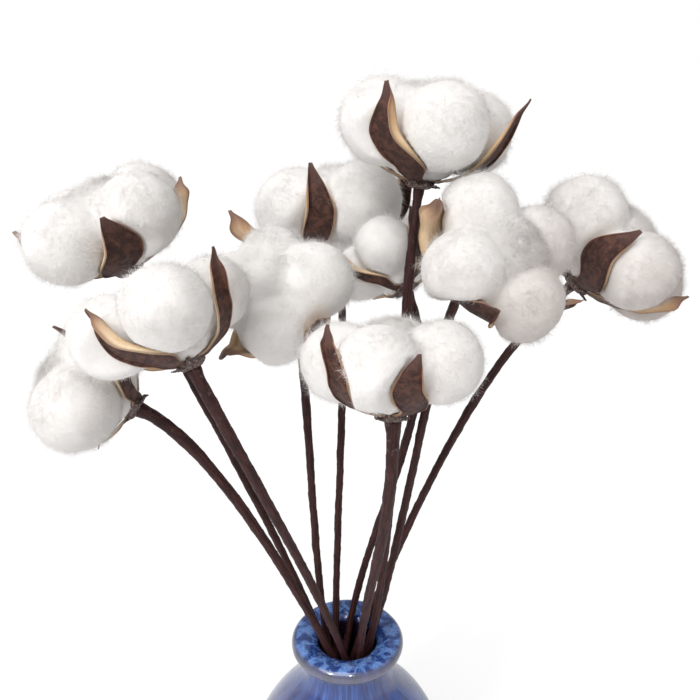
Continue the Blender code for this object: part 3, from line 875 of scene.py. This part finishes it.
def calyxKnob(number, rng):
    # a lumpy cup under the valves: a turned profile whose radius swells with two noises
    a = np.linspace(0, 2 * np.pi, 64, endpoint=False)
    steps = np.array(((0.34, -3.0), (0.50, -3.1), (0.72, -2.8), (0.90, -2.1), (1.02, -1.2), (1.06, -0.3),
                      (1.04, 0.5), (0.94, 1.1), (0.80, 1.2), (0.55, 0.9), (0.25, 0.7)))
    share, z = steps[:, :1], steps[:, 1:]
    lobes = 1 + 0.10 * np.sin(a * 5 + rng.uniform(0, 6)) + 0.07 * np.sin(a * 11 + rng.uniform(0, 6))
    radius = huskLook["calyxRadius"] * share * lobes
    rings = np.stack([radius * np.cos(a), radius * np.sin(a), z + 0 * a], -1)
    lumps = softNoise(rings, 2.6, rng.integers(1000)) * 0.55
    lumps = lumps + softNoise(rings, 1.1, rng.integers(1000)) * 0.28
    lumps = lumps * smooth((share - 0.3) / 0.3)
    push = np.stack([np.cos(a) + 0 * z, np.sin(a) + 0 * z, 0.5 * softNoise(rings, 1.9, 7)], -1)
    rings = rings + push * lumps[..., None]
    points, quads, tris = closedGrid(rings)
    return points, quads, tris, calyxValues(points, number)


def calyxFlap(number, rng):
    # a torn scrap of the dried calyx: a bowed tongue, leaning out from the knob
    u, v = np.meshgrid(np.linspace(0, 1, 9), np.linspace(-1, 1, 7), indexing="ij")
    long, wide = rng.uniform(2.6, 6.2), rng.uniform(1.5, 3.0)
    droop, bow = rng.uniform(-0.55, 0.45), rng.uniform(0.3, 0.9)
    out = 3.6 + long * u
    half = wide * (1 - u ** 2.2) * (0.75 + 0.25 * np.sin(u * 9 + rng.uniform(0, 6))) + 0.12
    side = half * v
    up = -0.9 + droop * long * u - bow * v ** 2 * (1 - 0.4 * u) + rng.uniform(0.2, 1.4) * u ** 2
    sheet = np.stack([out, side, up], -1)
    sheet = sheet + 0.45 * np.stack([softNoise(sheet, 1.6, rng.integers(1000)) for _ in range(3)], -1)
    thick = 0.30 * (1 - 0.5 * u)[..., None] * np.array([0.0, 0.0, 1.0])
    ring = np.concatenate([sheet + thick, (sheet - thick)[:, ::-1]], 1)
    b = math.radians(rng.uniform(0, 360))
    turn = np.array([[math.cos(b), -math.sin(b), 0], [math.sin(b), math.cos(b), 0], [0, 0, 1]])
    points, quads, tris = closedGrid(ring @ turn.T)
    return points, quads, tris, calyxValues(points, number)


def makeHuskSkin():
    # brown blotched outside and veined cream inside, told apart by innerFace; a brown rim
    # and margin, a flush and a dark thorn along the valve, gritty grey on the calyx
    mat, tree, bsdf = newMaterial("driedHusk", huskLook["roughness"])
    look = huskLook
    place = addNode(tree, "ShaderNodeTexCoord").outputs["Object"]
    sheet = attributeOf(tree, "valveMap", "Vector")
    inner = attributeOf(tree, "innerFace")
    along = attributeOf(tree, "alongValve")
    blotch = mottled(tree, place, 330.0, 0.40, 0.64)
    veins = streaked(tree, sheet, 3.4, 0.9)
    outside = mixColours(tree, blotch.outputs["Mask"], look["outside"], look["outsideWarm"])
    specks = curveOf(tree, blotch.outputs["Fine"], 0.60, 0.74)
    outside = mixColours(tree, combine(tree, "MULTIPLY", specks, 0.5), outside, look["speck"])
    inside = mixColours(tree, curveOf(tree, veins, 0.35, 0.65), look["inside"], look["insidePale"])
    stain = curveOf(tree, blotch.outputs["Fine"], 0.30, 0.46, 1.0, 0.0)
    inside = mixColours(tree, combine(tree, "MULTIPLY", stain, 0.35), inside, look["rim"])
    colour = mixColours(tree, curveOf(tree, inner, 0.30, 0.85), outside, inside)
    edge = combine(tree, "ABSOLUTE", attributeOf(tree, "acrossValve"), 0.0)
    border = combine(tree, "MULTIPLY", curveOf(tree, edge, 0.86, 0.985), curveOf(tree, inner, 0.5, 0.9))
    colour = mixColours(tree, combine(tree, "MULTIPLY", border, 0.6), colour, look["outsideWarm"])
    flush = combine(tree, "MULTIPLY", curveOf(tree, along, 0.64, 0.97), inner)
    colour = mixColours(tree, combine(tree, "MULTIPLY", flush, 0.55), colour, look["flush"])
    rimLow = curveOf(tree, inner, 0.10, 0.5)
    rimHigh = curveOf(tree, inner, 0.5, 0.95, 1.0, 0.0)
    rim = combine(tree, "MULTIPLY", rimLow, rimHigh)
    colour = mixColours(tree, rim, colour, look["rim"])
    thorn = curveOf(tree, along, 0.84, 0.97)
    thorn = combine(tree, "MULTIPLY", thorn, curveOf(tree, inner, 0.0, 1.0, 0.9, 0.7))
    colour = mixColours(tree, thorn, colour, look["thorn"])
    grit = curveOf(tree, blotch.outputs["Fine"], 0.42, 0.66)
    calyx = mixColours(tree, grit, look["calyx"], look["calyxPale"])
    colour = mixColours(tree, attributeOf(tree, "onCalyx"), colour, calyx)
    tree.links.new(colour, bsdf.inputs["Base Color"])
    bsdf.inputs["Specular IOR Level"].default_value = 0.35
    height = combine(tree, "ADD", blotch.outputs["Fine"], combine(tree, "MULTIPLY", veins, 1.5))
    bumped(tree, height, 0.5, 0.0007, bsdf)
    return mat


studio = {
    "floor": (0.90, 0.90, 0.90, 1), "floorSeen": (0.30, 0.30, 0.30, 1), "floorGlow": 0.76,
    "floorRadius": 30.0,
    "sky": 0.42, "sun": 1.90, "sunAngle": 50.0, "sunElevation": 58.0, "sunBearing": -122.0,
    "cameraAt": (0.0012, -0.290, 0.376), "pitch": 21.0, "focal": 755.0, "pictureWidth": 700,
    # name, place, size and power of the two small soft boxes that shine in the glaze
    "boxes": (("windowBox", (-0.45, -0.65, 0.75), (0.10, 0.30), 3.0),
              ("smallBox", (0.10, -0.9, 0.85), (0.06, 0.06), 1.5)),
    "boxAim": (0, 0, 0.11),
}


def buildStudio():
    # a pale round floor, an even sky, one broad sun and two small soft boxes for the glaze
    count = 96
    a = np.linspace(0, 2 * np.pi, count, endpoint=False)
    ring = np.stack([np.cos(a), np.sin(a), 0 * a], -1) * studio["floorRadius"] - [0, 0, 0.0002]
    me = bpy.data.meshes.new("paleFloor")
    me.from_pydata([tuple(p) for p in ring], [], [tuple(range(count))])
    mat, tree, bsdf = newMaterial("paleFloor", 0.9)
    seen = addNode(tree, "ShaderNodeLightPath").outputs["Is Camera Ray"]
    tree.links.new(mixColours(tree, seen, studio["floor"], studio["floorSeen"]), bsdf.inputs["Base Color"])
    tree.links.new(mixColours(tree, seen, (0, 0, 0, 1), (1, 1, 1, 1)), bsdf.inputs["Emission Color"])
    bsdf.inputs["Emission Strength"].default_value = studio["floorGlow"]
    bsdf.inputs["Specular IOR Level"].default_value = 0.1
    me.materials.append(mat)
    floor = bpy.data.objects.new("paleFloor", me)
    bpy.context.scene.collection.objects.link(floor)

    world = bpy.data.worlds.new("studioSky")
    world.use_nodes = True
    tree = world.node_tree
    background = tree.nodes["Background"]
    seen = addNode(tree, "ShaderNodeLightPath").outputs["Is Camera Ray"]
    tree.links.new(curveOf(tree, seen, 0.0, 1.0, studio["sky"], 1.0, "LINEAR"), background.inputs["Strength"])
    background.inputs["Color"].default_value = (1, 1, 1, 1)
    bpy.context.scene.world = world

    sun = bpy.data.lights.new("broadSun", "SUN")
    sun.energy = studio["sun"]
    sun.angle = math.radians(studio["sunAngle"])
    ob = bpy.data.objects.new("broadSun", sun)
    ob.rotation_euler = (math.radians(90 - studio["sunElevation"]), 0,
                         math.radians(studio["sunBearing"] + 90))
    bpy.context.scene.collection.objects.link(ob)
    for name, at, size, power in studio["boxes"]:
        lamp = bpy.data.lights.new(name, "AREA")
        lamp.shape = "RECTANGLE"
        lamp.size, lamp.size_y = size
        lamp.energy = power
        ob = bpy.data.objects.new(name, lamp)
        ob.location = at
        aim = np.array(studio["boxAim"]) - at
        flat = math.hypot(aim[0], aim[1])
        ob.rotation_euler = (math.atan2(flat, -aim[2]), 0, math.atan2(aim[1], aim[0]) - math.pi / 2)
        bpy.context.scene.collection.objects.link(ob)

    camera = bpy.data.cameras.new("camera")
    camera.sensor_width = 36.0
    camera.lens = studio["focal"] / studio["pictureWidth"] * camera.sensor_width
    camera.clip_start, camera.clip_end = 0.01, 50.0
    ob = bpy.data.objects.new("camera", camera)
    ob.location = studio["cameraAt"]
    ob.rotation_euler = (math.radians(90 - studio["pitch"]), 0, 0)
    bpy.context.scene.collection.objects.link(ob)
    bpy.context.scene.camera = ob
    bpy.context.scene.view_settings.view_transform = "Standard"


glaze, tape = makeGlaze(), makeTape()
cottonBody, cottonFibre = makeCotton("cottonLint", 0.5), makeCotton("cottonFibre", 0.0)
huskSkin = makeHuskSkin()
buildVase(glaze)
totals = {"stems": 0, "lint": 0, "fuzz": 0, "husks": 0}
for index, head in enumerate(heads):
    number = index + 1
    twist = random.Random(40 + index).uniform(-7, 7)
    totals["stems"] += buildStem(number, head, tape)
    totals["lint"] += buildLint(number, head, twist, cottonBody)
    totals["fuzz"] += buildFuzz(number, head, twist, cottonFibre)
    totals["husks"] += buildHusk(number, head, twist, huskSkin)
print("triangles:", totals)
buildStudio()
